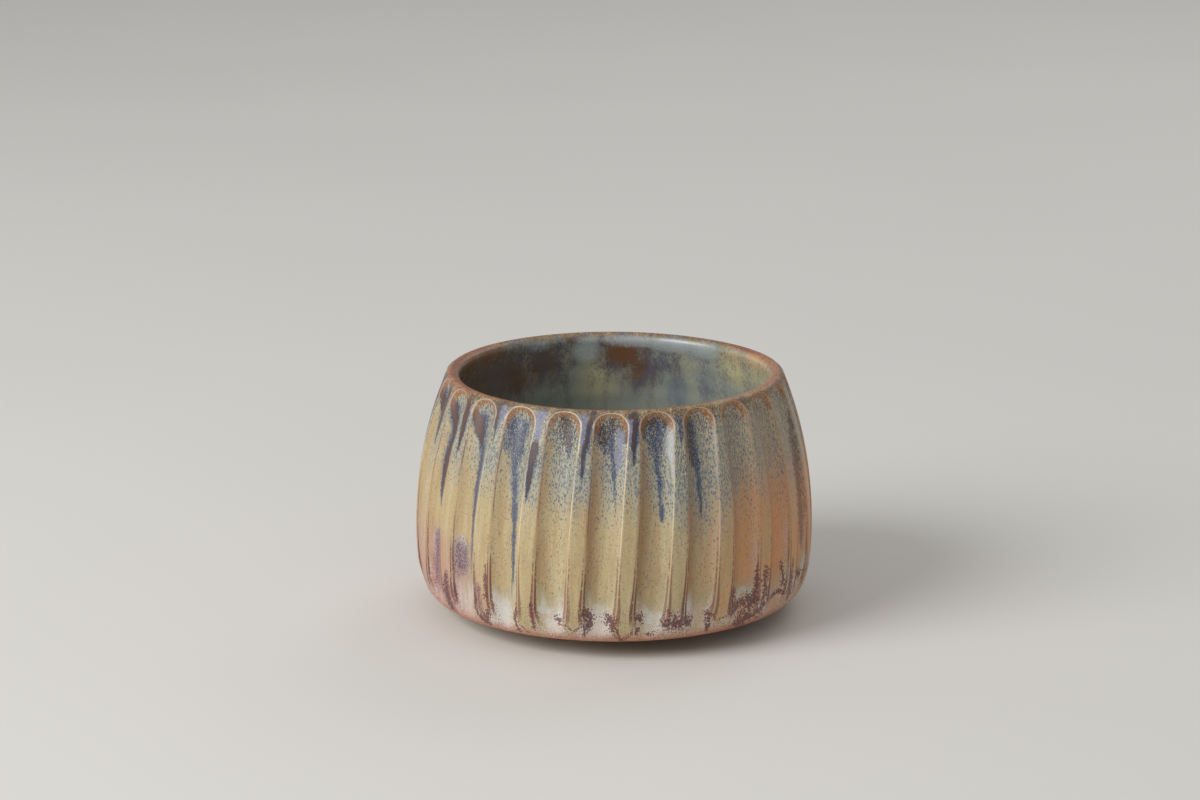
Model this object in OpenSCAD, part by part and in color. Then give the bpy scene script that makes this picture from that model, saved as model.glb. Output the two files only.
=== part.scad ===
// Cortado cup: a small wheel-thrown stoneware cup, carved all round with upright flutes
// and glazed inside and out. Millimetres, +Z up. The origin is on the table, under the
// middle of the foot ring, and the photographed front faces -Y.
//
// The cup is one fired lump of clay with three coats of glaze fused to it. Every surface of
// a coat runs parallel to the clay below it, so the clay's arcs are the glazed ones moved in
// by the thickness of the glaze, and the carving tool is that much larger on the clay.

/* [Cup] */
// Width across the widest part, over the glaze
cup_width = 84; // [76:1:92]
// Height from the table to the top of the lip
cup_height = 51.7; // [49:0.1:56]
// Height of the widest part above the table
belly_height = 17.8; // [16:0.1:20]
// Radius of the side's curve, from the lip to where it turns in
side_radius = 88; // [80:1:110]
// Height at which the side starts to turn in towards the base
turn_height = 12.4; // [11.5:0.1:13.5]
// Radius of the lower side, below the turn
lower_radius = 19; // [16:0.5:22]
// Angle that the lower side turns through before the base edge
lower_turn = 17; // [12:1:22]

/* [Wall] */
// Wall at the widest part, with both glazes
wall = 5.5; // [5:0.1:6.5]
// Thickness of the rounded lip
lip_thickness = 3.4; // [3:0.1:4]
// Thickness of the floor, with its glaze
floor_thickness = 5; // [4:0.1:6]
// Radius of the inside corner between wall and floor
inner_corner = 16; // [10:0.5:20]

/* [Foot ring] */
// Width across the foot ring
foot_width = 46; // [40:1:50]
// Thickness of the foot ring, seen from below
foot_ring = 4.2; // [3.5:0.1:6]
// Height of the body's underside above the table
foot_height = 3; // [2.5:0.1:3.4]
// Bevel on the foot ring's two lower edges
foot_bevel = 0.8; // [0.4:0.1:1.2]

/* [Flutes] */
// Number of carved flutes
flute_count = 24; // [20:1:26]
// Radius of the round carving tool, over the glaze
tool_radius = 5.5; // [5:0.1:6]
// Depth of a flute at its middle
flute_depth = 1.45; // [1.1:0.05:1.7]
// How far below the lip the arched end of the flute is centred
arch_drop = 3.8; // [3.4:0.1:6]
// Lean of the flutes in degrees, with their tops to the right
flute_lean = 2.8; // [0:0.1:4]
// How far hand carving varies that lean, in degrees
lean_wander = 1.4; // [0:0.1:1.6]
// How far hand carving spaces the flutes unevenly, in degrees
flute_wander = 1.2; // [0:0.1:1.5]
// Turn of all the flutes to the left, in degrees
flute_phase = 3; // [0:0.5:14]

/* [Glaze] */
// Thickness of the glaze
glaze = 0.5; // [0.4:0.05:0.7]
// Height of the outer glaze's lower edge above the table
glaze_line = 3.8; // [3.7:0.1:5]
// Depth of the rim glaze below the top of the lip
rim_depth = 3; // [2.5:0.1:3.2]

/* [Hidden] */
$fn = 128;

// Over the glaze, the outside is three arcs that run into each other: the side, the lower
// side and the base edge, whose radius brings it level with the underside. Each arc stands a
// hair proud of the one before it, so that the two cross where they would only touch.
hair = 0.02;
belly = cup_width / 2;
side_c = [belly - side_radius, belly_height];
turn_a = asin((turn_height - belly_height) / side_radius);
lower_c = side_c + polar(side_radius - lower_radius + hair, turn_a);
edge_a = turn_a - lower_turn;
edge_z = lower_c.y + lower_radius * sin(edge_a);
under = foot_height - glaze;
edge_radius = (edge_z - under) / (1 + sin(edge_a));
edge_c = lower_c + polar(lower_radius - edge_radius + hair, edge_a);

// The lip is a round that touches the side's arc from within and the inner wall's arc from
// without. The inner wall is one arc that leaves the stated wall at the widest part.
lip_r = lip_thickness / 2;
lip_z = cup_height - lip_r;
lip_a = asin((lip_z - belly_height) / (side_radius - lip_r));
lip_c = side_c + polar(side_radius - lip_r + hair, lip_a);
lip_lead = lip_c.x - belly + wall;
lip_rise = lip_z - belly_height;
inner_radius = (lip_lead ^ 2 + lip_rise ^ 2 - lip_r ^ 2) / (2 * (lip_r - lip_lead));
inner_c = [belly - wall - inner_radius + hair, belly_height];
inner_lip_a = asin(lip_rise / (inner_radius + lip_r));
floor_z = foot_height + floor_thickness;
corner_rise = floor_z + inner_corner - belly_height;
corner_a = asin(corner_rise / (inner_radius - inner_corner));
corner_c = inner_c + polar(inner_radius - inner_corner + hair, corner_a);

// The tool's middle follows the side's curve, so the flute keeps its depth until the wall
// turns away under it, where it runs out. A ball, a hair larger than the tool, ends the flute
// in a round arch that bites into the lip.
path_radius = side_radius + tool_radius - flute_depth;
path_top = asin((cup_height - arch_drop - belly_height) / side_radius);
path_bottom = -asin((belly_height + tool_radius) / path_radius);
path_overrun = 0.3;
ball_radius = tool_radius + 0.06;
lean_z = 0.74 * cup_height;
rim_z = cup_height - rim_depth;
flute_path = path_top - path_bottom + path_overrun;

function polar(r, a) = [r * cos(a), r * sin(a)];
function flute_angle(i) = 360 * i / flute_count - 90 - flute_phase + flute_wander * cos(30 * i + 36);
function lean_angle(i) = flute_lean + lean_wander * cos(50 * (i - 1));

// The part of a disc between two heights
module disc_band(centre, r, low, high) {
  intersection() {
    translate(centre) circle(r);
    translate([0, low]) square([belly + 5, high - low]);
  }
}

// Half profile of the outside, filled to the axis and moved in by inset
module outside(inset) {
  side_top = lip_z + (lip_r - inset) * sin(lip_a);
  intersection() {
    union() {
      disc_band(side_c, side_radius - inset, turn_height, side_top);
      disc_band(lower_c, lower_radius - inset, edge_z, turn_height + 1.5);
      disc_band(edge_c, edge_radius - inset, 0, edge_z + 1);
      translate(lip_c) circle(lip_r - inset);
      square([edge_c.x - 1, lip_z]);
      translate([0, belly_height]) square([lip_c.x, cup_height]);
    }
    translate([0, under + inset + hair]) square([belly + 5, cup_height + 1]);
  }
}

// Half profile of the hollow, widened by outset and open past the top of the lip
module hollow(outset) {
  wall_top = lip_z - (lip_r - outset) * sin(inner_lip_a);
  wall_foot = corner_c.y + (inner_corner + outset) * sin(corner_a);
  difference() {
    union() {
      disc_band(inner_c, inner_radius + outset, wall_foot, wall_top);
      disc_band(corner_c, inner_corner + outset, floor_z - outset + hair, wall_foot + 2);
      translate([0, floor_z - outset + hair]) square([corner_c.x, lip_z - floor_z]);
      translate([0, wall_top]) square([lip_c.x, cup_height + 10 - wall_top]);
    }
    translate(lip_c) circle(lip_r - outset);
  }
}

// Half section of the wall and floor between the two
module section(inset) {
  difference() {
    outside(inset);
    hollow(inset);
  }
}

// Half profile of the foot ring, from the table up into the underside
module foot() {
  outer = foot_width / 2;
  inner = outer - foot_ring;
  root = foot_height + 1;
  polygon([
    [inner, root],
    [inner, foot_bevel],
    [inner + foot_bevel, 0],
    [outer - foot_bevel, 0],
    [outer, foot_bevel],
    [outer, root]
  ]);
}

// What the carving tool takes away for one flute, grown by extra. Flute 0 is at the front, and
// each leans about a point above its middle.
module flute(i, extra) {
  rotate(flute_angle(i))
    translate([0, 0, lean_z]) rotate([-lean_angle(i), 0, 0]) translate([side_c.x, 0, side_c.y - lean_z])
      rotate([90, 0, 0]) {
        rotate(path_bottom)
          rotate_extrude(angle = flute_path) translate([path_radius, 0]) circle(tool_radius + extra);
        rotate(path_top) translate([path_radius, 0]) sphere(ball_radius + extra);
      }
}

// Carves count flutes into its children, one after the other from the back round to the back
module carve(count, extra) {
  if (count == 0) children();
  else difference() {
    carve(count - 1, extra) children();
    flute(count - 1 - floor(flute_count / 2), extra);
  }
}

module clay_body() {
  color("#8a6a4d")
    carve(flute_count, glaze) rotate_extrude() {
      section(glaze);
      foot();
    }
}

module outer_glaze() {
  color("#b9a367")
    difference() {
      carve(flute_count, 0) rotate_extrude() intersection() {
        outside(0);
        translate([0, glaze_line]) square([belly + 5, rim_z - glaze_line]);
      }
      carve(flute_count, glaze) rotate_extrude() outside(glaze);
    }
}

module rim_glaze() {
  color("#6f4a33")
    difference() {
      carve(flute_count, 0) rotate_extrude() intersection() {
        section(0);
        translate([0, rim_z]) square([belly + 5, rim_depth + 1]);
      }
      carve(flute_count, glaze) rotate_extrude() section(glaze);
    }
}

module liner_glaze() {
  color("#6d6a52")
    rotate_extrude() intersection() {
      difference() {
        hollow(glaze);
        hollow(0);
      }
      square([belly, rim_z]);
    }
}

clay_body();
outer_glaze();
rim_glaze();
liner_glaze();
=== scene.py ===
import math

import bpy
import numpy as np
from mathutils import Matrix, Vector


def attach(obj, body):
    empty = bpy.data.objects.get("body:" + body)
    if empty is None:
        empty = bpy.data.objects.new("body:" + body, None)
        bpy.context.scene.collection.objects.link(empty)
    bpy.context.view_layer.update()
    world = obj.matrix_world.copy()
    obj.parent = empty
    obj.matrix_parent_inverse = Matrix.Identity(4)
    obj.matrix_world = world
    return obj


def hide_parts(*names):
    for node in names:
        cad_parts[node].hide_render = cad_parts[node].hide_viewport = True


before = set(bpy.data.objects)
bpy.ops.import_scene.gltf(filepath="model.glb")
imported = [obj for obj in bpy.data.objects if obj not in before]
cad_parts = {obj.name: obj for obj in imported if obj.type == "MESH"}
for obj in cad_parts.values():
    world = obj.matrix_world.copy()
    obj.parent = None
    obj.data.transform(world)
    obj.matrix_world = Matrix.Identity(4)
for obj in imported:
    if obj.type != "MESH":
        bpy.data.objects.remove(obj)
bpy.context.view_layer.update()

MM = 0.001
QUARTER = math.pi / 2.0
FULL_TURN = 2.0 * math.pi

# Sizes of the cup in millimetres, the same as in the part's source
CUP_HEIGHT = 51.7
BELLY = 42.0
BELLY_HEIGHT = 17.8
SIDE_RADIUS = 88.0
TURN_HEIGHT = 12.4
LOWER_RADIUS = 19.0
LOWER_TURN = math.radians(17.0)
WALL = 5.5
LIP_RADIUS = 1.7
FLOOR_Z = 8.0
INNER_CORNER = 16.0
FOOT_OUTER = 23.0
FOOT_INNER = 18.8
FOOT_HEIGHT = 3.0
FOOT_BEVEL = 0.8
GLAZE = 0.5
GLAZE_LINE = 3.8
RIM_Z = 48.7
FLUTES = 24
TOOL_RADIUS = 5.5
PATH_RADIUS = SIDE_RADIUS + TOOL_RADIUS - 1.45
ARCH_Z = CUP_HEIGHT - 3.4
LEAN_Z = 0.74 * CUP_HEIGHT

# The flutes are uneven in place and lean by a rule, whose steps from flute to flute are in degrees
FLUTE_TURN = math.radians(-3.0)
FLUTE_WANDER = math.radians(1.2)
WANDER_STEP = 30.0
WANDER_START = 36.0
FLUTE_LEAN = math.radians(2.8)
LEAN_WANDER = math.radians(1.4)
LEAN_STEP = 50.0
FRONT_FLUTES = range(-5, 6)

# Finish of the dressed pieces: soft edges of the flutes, how far a fluted piece stays inside its
# solid, the angle past which an edge stays sharp, the dips of the lip as (depth, turn from the front
# in degrees), and how far the lip wavers
ARRIS_SOFTNESS = 0.5
DRAWN_IN = 0.02
SHARP_ANGLE = math.radians(48.0)
LIP_DIPS = [(0.55, -25.0), (0.3, 150.0)]
LIP_WAVER = 0.1


def colour(red, green, blue):
    """Linear colour for display values from 0 to 255."""
    parts = []
    for value in (red, green, blue):
        share = value / 255.0
        parts.append(share / 12.92 if share <= 0.04045 else ((share + 0.055) / 1.055) ** 2.4)
    return (*parts, 1.0)


OCHRE = colour(180, 157, 114)
STRAW = colour(198, 184, 142)
TAN = colour(160, 118, 78)
OLIVE = colour(166, 160, 126)
# warmer brown glaze of the right side, partly painted orange bounce light
WARM_BROWN_AND_BOUNCE = colour(214, 140, 82)
BLUE_HAZE = colour(140, 156, 156)
BLUE_GREY = colour(90, 105, 128)
DEEP_BLUE = colour(56, 67, 98)
INK = colour(46, 46, 58)
LAVENDER = colour(107, 111, 139)
MILK = colour(206, 202, 196)
MILKY_BLUE = colour(153, 157, 178)
CHALK = colour(208, 208, 202)
DARK_PLUM = colour(64, 50, 58)
BROWN = colour(100, 68, 54)
UMBER = colour(72, 50, 48)
RUST = colour(150, 98, 52)
PEACH = colour(210, 174, 132)
CREAM = colour(226, 206, 178)
SALMON = colour(192, 138, 102)
SHELL = colour(200, 183, 155)
PALE_SHELL = colour(214, 206, 198)
PINK_WHITE = colour(196, 178, 176)
ROSE = colour(186, 136, 124)
SLATE = colour(88, 76, 90)
DARK_MAUVE = colour(100, 78, 98)
STAIN = colour(146, 92, 104)
DARK_OLIVE = colour(92, 80, 62)
PLUM = colour(110, 62, 60)
MAUVE = colour(104, 84, 106)
# pinkish tone of the base edge, partly painted orange bounce light
BASE_PINK_AND_BOUNCE = colour(192, 118, 86)
LIP_OLIVE = colour(136, 110, 66)
LIP_PINK = colour(190, 106, 60)
LIP_RUST = colour(150, 80, 42)
LINER_GREEN = colour(150, 155, 144)
LINER_YELLOW = colour(202, 192, 146)
LINER_BLUE = colour(122, 132, 140)
LINER_PURPLE = colour(96, 84, 92)
LINER_BROWN = colour(102, 68, 50)
LINER_UMBER = colour(126, 82, 52)
# pale blue-white of the liner, used partly as a painted highlight
LINER_MILK_AND_HIGHLIGHT = colour(184, 192, 198)
BUFF = colour(196, 172, 140)
BUFF_DARK = colour(160, 130, 98)
IRON_SPECK = colour(84, 60, 44)
FLOOR_PALE = colour(228, 226, 222)


# Profiles: half sections of the glazed surfaces, from the crest of the lip


def polar(radius, angle):
    return np.array([radius * math.cos(angle), radius * math.sin(angle)])


def arc(centre, radius, start, end, count, facing=1.0):
    """Rows of radius, height and surface normal along an arc."""
    angle = np.linspace(start, end, count)
    out = np.stack([np.cos(angle), np.sin(angle)], axis=1)
    return np.hstack([centre + radius * out, facing * out])


class Profile:
    """A half section that can be read at any distance along it from the crest."""

    def __init__(self, *arcs):
        self.rows = np.vstack([arcs[0]] + [part[1:] for part in arcs[1:]])
        steps = np.hypot(np.diff(self.rows[:, 0]), np.diff(self.rows[:, 1]))
        self.along = np.concatenate([[0.0], np.cumsum(steps)])

    def at(self, along):
        read = [np.interp(along, self.along, column) for column in self.rows.T]
        return np.stack(read, axis=-1)

    def reach(self, height):
        """Distance along the section at which it has come down to this height."""
        return float(np.interp(-height, -self.rows[:, 1], self.along))


# Centres (_c) and angles (_a) of the arcs of the section
side_c = np.array([BELLY - SIDE_RADIUS, BELLY_HEIGHT])
turn_a = math.asin((TURN_HEIGHT - BELLY_HEIGHT) / SIDE_RADIUS)
lower_c = side_c + polar(SIDE_RADIUS - LOWER_RADIUS, turn_a)
edge_a = turn_a - LOWER_TURN
edge_z = lower_c[1] + LOWER_RADIUS * math.sin(edge_a)
edge_radius = (edge_z - FOOT_HEIGHT + GLAZE) / (1.0 + math.sin(edge_a))
edge_c = lower_c + polar(LOWER_RADIUS - edge_radius, edge_a)
lip_z = CUP_HEIGHT - LIP_RADIUS
lip_a = math.asin((lip_z - BELLY_HEIGHT) / (SIDE_RADIUS - LIP_RADIUS))
lip_c = side_c + polar(SIDE_RADIUS - LIP_RADIUS, lip_a)
lip_lead = lip_c[0] - BELLY + WALL
lip_rise = lip_z - BELLY_HEIGHT
inner_radius = (lip_lead**2 + lip_rise**2 - LIP_RADIUS**2) / (2.0 * (LIP_RADIUS - lip_lead))
inner_c = np.array([BELLY - WALL - inner_radius, BELLY_HEIGHT])
inner_lip_a = math.asin(lip_rise / (inner_radius + LIP_RADIUS))
corner_a = math.asin((FLOOR_Z + INNER_CORNER - BELLY_HEIGHT) / (inner_radius - INNER_CORNER))
corner_c = inner_c + polar(inner_radius - INNER_CORNER, corner_a)
arch_a = math.asin((ARCH_Z - BELLY_HEIGHT) / SIDE_RADIUS)

floor_line = np.array([[corner_c[0], FLOOR_Z, 0.0, 1.0], [0.0, FLOOR_Z, 0.0, 1.0]])
outside = Profile(
    arc(lip_c, LIP_RADIUS, QUARTER, lip_a, 40),
    arc(side_c, SIDE_RADIUS, lip_a, turn_a, 300),
    arc(lower_c, LOWER_RADIUS, turn_a, edge_a, 60),
    arc(edge_c, edge_radius, edge_a, -QUARTER, 80),
)
inside = Profile(
    arc(lip_c, LIP_RADIUS, QUARTER, math.pi + inner_lip_a, 40),
    arc(inner_c, inner_radius, inner_lip_a, corner_a, 200, -1.0),
    arc(corner_c, INNER_CORNER, corner_a, -QUARTER, 90, -1.0),
    floor_line,
)
RIM_OUT = outside.reach(RIM_Z)
RIM_IN = inside.reach(RIM_Z)
GLAZE_END = outside.reach(GLAZE_LINE)
LINER_END = float(inside.along[-1])
BASE_END = float(outside.along[-1])


def spaced(*marks):
    """Distances from mark to mark, each step (start, end, spacing)."""
    runs = []
    for start, end, spacing in marks:
        count = max(2, int(round(abs(end - start) / spacing)) + 1)
        runs.append(np.linspace(start, end, count)[1 if runs else 0:])
    return np.concatenate(runs)


class Rows:
    """Rows of a piece: its section, how deep each row lies under the glazed surface, and its place."""

    def __init__(self):
        self.section = []
        self.inset = []
        self.down = []

    def add(self, profile, along, inset, sign=1.0):
        """Rows read from a profile. Those on the inside of the cup count their distance below zero."""
        along = np.asarray(along, float)
        inset = np.broadcast_to(np.asarray(inset, float), along.shape)
        read = profile.at(along)
        self.section.append(read[:, :2] - inset[:, None] * read[:, 2:])
        self.inset.append(inset)
        self.down.append(sign * along)

    def add_points(self, points, down):
        """Rows of bare clay, given point by point."""
        points = np.asarray(points, float)
        self.section.append(points)
        self.inset.append(np.full(len(points), GLAZE))
        self.down.append(np.full(len(points), down))

    def whole(self):
        """Section, inset and place of all rows."""
        return np.vstack(self.section), np.concatenate(self.inset), np.concatenate(self.down)


# Flutes: where each one lies and how it leans, as carved by hand


def wrapped(angle):
    """The same angle, at most half a turn to either side."""
    return (angle + math.pi) % FULL_TURN - math.pi


def flute_turn(flute):
    """Turn of a flute's middle from the front, to the right."""
    uneven = FLUTE_WANDER * np.cos(np.radians(WANDER_STEP * flute + WANDER_START))
    return FULL_TURN * flute / FLUTES + FLUTE_TURN + uneven


def flute_lean(flute):
    """Angle by which a flute leans to the right."""
    return FLUTE_LEAN + LEAN_WANDER * np.cos(np.radians(LEAN_STEP * (flute - 1.0)))


# Columns of the mesh across half a flute
FINE_ACROSS = np.array([0.5, 1.0, 1.5, 2.0, 2.45, 2.85, 3.15, 3.4, 3.58, 3.72, 3.86, 4.05, 4.3])
COARSE_ACROSS = np.array([0.9, 1.8, 2.6, 3.3, 3.7, 3.95, 4.3])
# Nearer the axis than these radii, at and between two heights, the columns turn together and so
# never cross
LEAST_HEIGHTS = [4.0, 30.0]
LEAST_RADII = [38.2, 35.3]
LEAST_RADIUS = LEAST_RADII[-1]


def flute_columns(across, land_steps):
    """Columns that follow the flutes: the flute to the left and right of each, the distance
    across from either, and the share of the right one, which is above zero on the lands."""
    near = np.concatenate([-across[::-1], [0.0], across])
    table = []
    for flute in range(-FLUTES // 2, FLUTES // 2):
        for step in near:
            table.append((flute, flute, step, step, 0.0))
        for land in range(1, land_steps + 1):
            share = land / (land_steps + 1.0)
            table.append((flute, flute + 1, near[-1], near[0], share))
    return np.array(table).T


def first_lap(flute):
    """The same flute, numbered from the back round to the back."""
    return (flute + FLUTES // 2) % FLUTES - FLUTES // 2


def carved_path(flute, points):
    """Where points lie for the tool that carved a flute: distance across, angle along the tool's
    path and distance from its centre."""
    turn = flute_turn(flute)
    lean = flute_lean(flute)
    x, y, z = points
    outward = x * np.sin(turn) - y * np.cos(turn)
    aside = x * np.cos(turn) + y * np.sin(turn)
    across = aside * np.cos(lean) - (z - LEAN_Z) * np.sin(lean)
    height = LEAN_Z + aside * np.sin(lean) + (z - LEAN_Z) * np.cos(lean)
    rise = height - side_c[1]
    away = outward - side_c[0]
    return across, np.arctan2(rise, away), np.hypot(rise, away)


class Blank:
    """The turned shape of a piece before carving, with what its glaze needs to know at each point."""

    def __init__(self, rows, across, land_steps):
        section, inset, self.row_down = rows.whole()
        left, right, left_u, right_u, share = flute_columns(across, land_steps)
        radius = section[:, :1] - DRAWN_IN
        height = section[:, 1:]
        steady = np.maximum(radius, np.interp(height, LEAST_HEIGHTS, LEAST_RADII))
        left_lay = flute_turn(left) + left_u / steady
        right_lay = flute_turn(right) + right_u / steady
        self.lay = left_lay * (1.0 - share) + right_lay * share
        lean = np.tan(flute_lean(left)) * (1.0 - share) + np.tan(flute_lean(first_lap(right))) * share
        self.turn = self.lay + (height - LEAN_Z) * lean / steady
        self.radius = np.broadcast_to(radius, self.turn.shape)
        self.points = np.stack([
            radius * np.sin(self.turn),
            -radius * np.cos(self.turn),
            np.broadcast_to(height, self.turn.shape),
        ])
        nearest = np.where(share <= 0.5, left, first_lap(right))
        self.flute = np.broadcast_to(nearest, self.turn.shape)
        self.inset = np.broadcast_to(inset[:, None], self.turn.shape)
        self.down = np.broadcast_to(self.row_down[:, None], self.turn.shape)
        self.across, along, reach = carved_path(self.flute, self.points)
        over = np.maximum(along - arch_a, 0.0) * SIDE_RADIUS
        bite = np.maximum(TOOL_RADIUS**2 - (PATH_RADIUS - reach - self.inset) ** 2, 0.0)
        self.edge = np.hypot(self.across, over) - np.sqrt(bite)

        beside = self.flute + np.sign(self.across)
        middle = 0.5 * (flute_turn(self.flute) + flute_turn(beside))
        gap = np.abs(wrapped(self.lay - middle))
        self.ridge = gap * np.maximum(self.radius, LEAST_RADIUS)

    def flow(self):
        """Place on the wall as the glaze ran down it, with the lean of the flutes taken out."""
        return np.stack([BELLY * np.sin(self.lay), -BELLY * np.cos(self.lay), self.down])

    def aside(self, flute):
        """Distance across from the middle of a flute, at every point."""
        return wrapped(self.lay - flute_turn(flute)) * np.maximum(self.radius, LEAST_RADIUS)


def mesh_object(name, points, closed, poles):
    """A mesh from a grid of points in millimetres, joined round its columns. The rows join up end
    to end, or end in poles on the axis."""
    rows, columns = points.shape[1:]
    spots = np.moveaxis(points, 0, -1).reshape(-1, 3)
    row = np.arange(rows if closed else rows - 1)
    below = (row + 1) % rows
    column = np.arange(columns)
    beside = (column + 1) % columns
    quads = np.stack(np.broadcast_arrays(
        row[:, None] * columns + column,
        row[:, None] * columns + beside,
        below[:, None] * columns + beside,
        below[:, None] * columns + column,
    ), axis=-1).reshape(-1, 4)
    faces = quads.tolist()
    for end, height in poles:
        tip = len(spots)
        spots = np.vstack([spots, [[0.0, 0.0, height]]])
        first = 0 if end == 0 else (rows - 1) * columns
        for here, there in zip(column, beside):
            ring = (tip, first + there, first + here) if end == 0 else (tip, first + here, first + there)
            faces.append([int(spot) for spot in ring])
    mesh = bpy.data.meshes.new(name)
    mesh.from_pydata((spots * MM).tolist(), [], faces)
    mesh.update()
    piece = bpy.data.objects.new(name, mesh)
    bpy.context.scene.collection.objects.link(piece)
    return piece


def vertex_places(mesh):
    """Places of a mesh's vertices, one in each row."""
    places = np.empty(len(mesh.vertices) * 3)
    mesh.vertices.foreach_get("co", places)
    return places.reshape(-1, 3)


def keep(piece, name, values):
    """Stores one number or vector for each point of a mesh. Poles take those of the last point."""
    values = np.asarray(values, float)
    mesh = piece.data
    vector = values.ndim == 3
    flat = np.moveaxis(values, 0, -1).reshape(-1, 3) if vector else values.reshape(-1, 1)
    spare = len(mesh.vertices) - len(flat)
    flat = np.vstack([flat, np.repeat(flat[-1:], spare, axis=0)])
    layer = mesh.attributes.new(name, "FLOAT_VECTOR" if vector else "FLOAT", "POINT")
    layer.data.foreach_set("vector" if vector else "value", flat.astype(np.float32).ravel())


# Node trees


def operator(name):
    """An operator that adds a Math node, and the same with its sides exchanged."""

    def forward(self, other):
        return self.math(name, self, other)

    def reflected(self, other):
        return self.math(name, other, self)

    return forward, reflected


class Wire:
    """One socket of a node tree. Arithmetic on it adds Math nodes to that tree."""

    __add__, __radd__ = operator("ADD")
    __sub__, __rsub__ = operator("SUBTRACT")
    __mul__, __rmul__ = operator("MULTIPLY")
    __truediv__, __rtruediv__ = operator("DIVIDE")

    def __init__(self, tree, socket=None):
        self.tree = tree
        self.socket = socket

    def node(self, kind, settings=None, inputs=None, out=0):
        """Adds a node: its settings first, then the values or links of its sockets."""
        made = self.tree.nodes.new(kind)
        for name, value in (settings or {}).items():
            setattr(made, name, value)
        for key, value in (inputs or {}).items():
            if isinstance(value, Wire):
                self.tree.links.new(value.socket, made.inputs[key])
            else:
                made.inputs[key].default_value = value
        return Wire(self.tree, made.outputs[out] if made.outputs else None)

    def math(self, operation, *values):
        return self.node("ShaderNodeMath", {"operation": operation}, dict(enumerate(values)))

    def __abs__(self):
        return self.math("ABSOLUTE", self)

    def __neg__(self):
        return self.math("MULTIPLY", self, -1.0)

    def least(self, other):
        return self.math("MINIMUM", self, other)

    def most(self, other):
        return self.math("MAXIMUM", self, other)

    def step(self, low, high, start=0.0, end=1.0):
        """Eases from start to end as the value goes from low to high."""
        return self.node(
            "ShaderNodeMapRange",
            {"interpolation_type": "SMOOTHSTEP"},
            {"Value": self, "From Min": low, "From Max": high, "To Min": start, "To Max": end},
        )

    def fall(self, low, high):
        """Eases from one to zero as the value goes from low to high."""
        return self.step(low, high, 1.0, 0.0)

    def band(self, low, high, soft):
        """One between two limits, easing off over soft beyond each."""
        return self.step(low - soft, low) * self.fall(high, high + soft)

    def sway(self, share):
        """How far a noise lies from its middle, scaled."""
        return (self - 0.5) * share

    def parts(self):
        """The three numbers of a vector."""
        split = self.node("ShaderNodeSeparateXYZ", None, {0: self}).socket.node
        return [Wire(self.tree, socket) for socket in split.outputs]

    def drawn(self, share):
        """A place on the wall with its height scaled, which draws a pattern out down the wall."""
        return self.node("ShaderNodeVectorMath", {"operation": "MULTIPLY"}, {0: self, 1: (1.0, 1.0, share)})

    def noise(self, scale, detail, roughness):
        """Noise read at this vector."""
        sizes = {"Vector": self, "Scale": scale, "Detail": detail, "Roughness": roughness}
        return self.node("ShaderNodeTexNoise", {"noise_dimensions": "3D"}, sizes)

    def dots(self, scale):
        """Distance to the nearest of many scattered points, in units of their spacing."""
        places = {"Vector": self, "Scale": scale}
        return self.node("ShaderNodeTexVoronoi", {"voronoi_dimensions": "3D"}, places, "Distance")

    def tint(self, other, share):
        """This colour, with a share of another mixed into it."""
        return self.pick(self, other, share)

    def pick(self, first, second, share):
        """Goes from one colour to another."""
        mixed = {0: share, 6: first, 7: second}
        return self.node("ShaderNodeMix", {"data_type": "RGBA", "clamp_factor": True}, mixed, 2)

    def attribute(self, name, out="Fac"):
        """What a mesh stores under a name."""
        return self.node("ShaderNodeAttribute", {"attribute_name": name}, None, out)


# Carving

CARVING = {
    "Flute count": float(FLUTES),
    "Turn of all": FLUTE_TURN,
    "Uneven spacing": FLUTE_WANDER,
    "Lean": FLUTE_LEAN,
    "Uneven lean": LEAN_WANDER,
    "Lean height": LEAN_Z * MM,
    "Side centre": float(side_c[0]) * MM,
    "Widest height": float(side_c[1]) * MM,
    "Side radius": SIDE_RADIUS * MM,
    "Path radius": PATH_RADIUS * MM,
    "Arch angle": arch_a,
    "Tool radius": TOOL_RADIUS * MM,
    "Arris softness": ARRIS_SOFTNESS * MM,
}


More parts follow.
